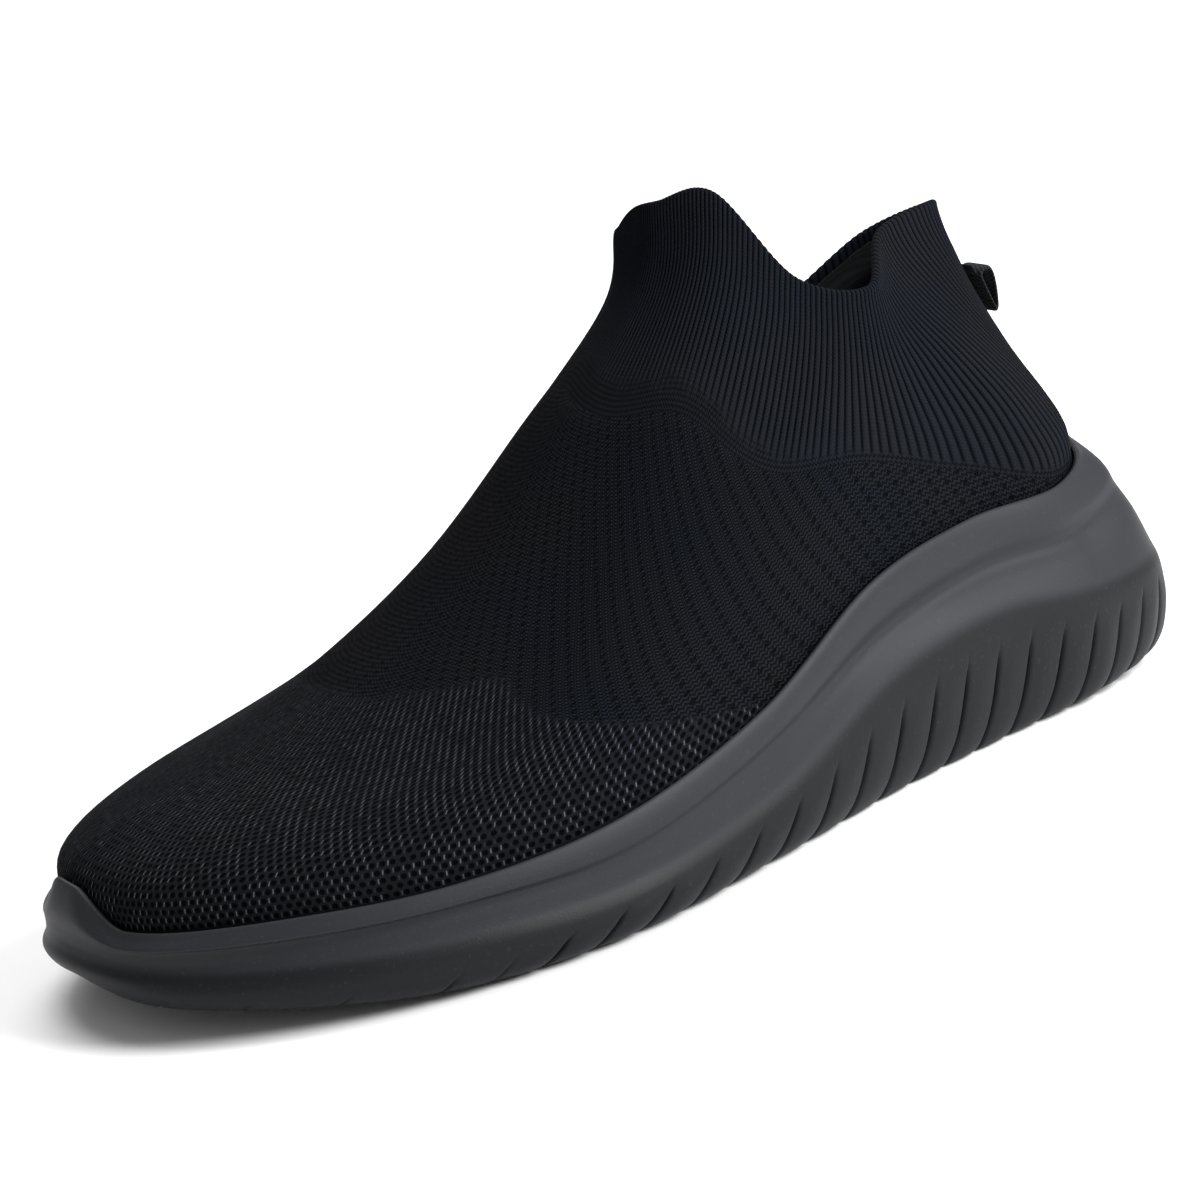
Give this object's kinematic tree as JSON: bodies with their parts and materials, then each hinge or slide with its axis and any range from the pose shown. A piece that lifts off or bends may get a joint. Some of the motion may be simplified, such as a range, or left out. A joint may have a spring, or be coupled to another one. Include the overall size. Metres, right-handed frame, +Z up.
{
  "type": "running shoe",
  "caption": "Left slip-on running shoe: sock-like rib and mesh knit upper with a pull tab, on a thick ribbed foam sole that flexes at the ball of the foot.",
  "frame": {"origin": "on the ground under the centre of the shoe's bounding box", "axes": "+X along the shoe towards the toe, +Y towards the outer (lateral) side of the foot, +Z up from the ground"},
  "size_m": [0.291, 0.1105, 0.1403],
  "materials": {
    "outsole_rubber": "matt moulded rubber tread",
    "eva_foam": "satin injection-moulded EVA foam",
    "fine_knit": "fine matt knit with rows of small eyelets",
    "mesh_knit": "open matt mesh knit with pale flecks",
    "rib_knit": "matt rib knit",
    "lining_cloth": "brushed tricot",
    "pad_foam": "open-cell foam",
    "board_cloth": "non-woven strobel cloth",
    "sock_foam": "cloth-topped foam",
    "stiffener": "thermoplastic sheet",
    "webbing": "woven polyester tape"
  },
  "bodies": {
    "rear": {"midsole_rear": "eva_foam", "strobel_board_rear": "board_cloth", "sockliner_rear": "sock_foam", "knit_quarters": "fine_knit", "knit_vamp_flex": "mesh_knit", "collar_rib_knit": "rib_knit", "collar_lining": "lining_cloth", "ankle_pad_lateral": "pad_foam", "ankle_pad_medial": "pad_foam", "heel_counter": "stiffener", "heel_seam_tape": "webbing", "outsole_heel_lateral": "outsole_rubber", "outsole_heel_medial": "outsole_rubber", "outsole_midfoot_lateral": "outsole_rubber", "outsole_ball_lateral": "outsole_rubber", "outsole_ball_medial": "outsole_rubber"},
    "forefoot": {"midsole_forefoot": "eva_foam", "outsole_forefoot_lateral": "outsole_rubber", "outsole_forefoot_medial": "outsole_rubber", "outsole_toe": "outsole_rubber", "strobel_board_forefoot": "board_cloth", "sockliner_forefoot": "sock_foam", "knit_toe_box": "mesh_knit", "toe_puff": "stiffener"},
    "pull_tab": {"pull_tab_loop": "webbing"}
  },
  "joints": [
    {"name": "ball_flex", "type": "hinge", "parent": "rear", "child": "forefoot", "pos_m": [0.046, 0, 0.021], "axis": [0, -1, 0], "range_deg": [0, 42], "stiffness_Nm_per_rad": 2.5, "deforming": ["knit_vamp_flex"]},
    {"name": "pull_tab_lift", "type": "hinge", "parent": "rear", "child": "pull_tab", "pos_m": [-0.11251, 0.00049, 0.09772], "axis": [0, 1, 0], "range_deg": [0, 95], "stiffness_Nm_per_rad": 0.002}
  ]
}
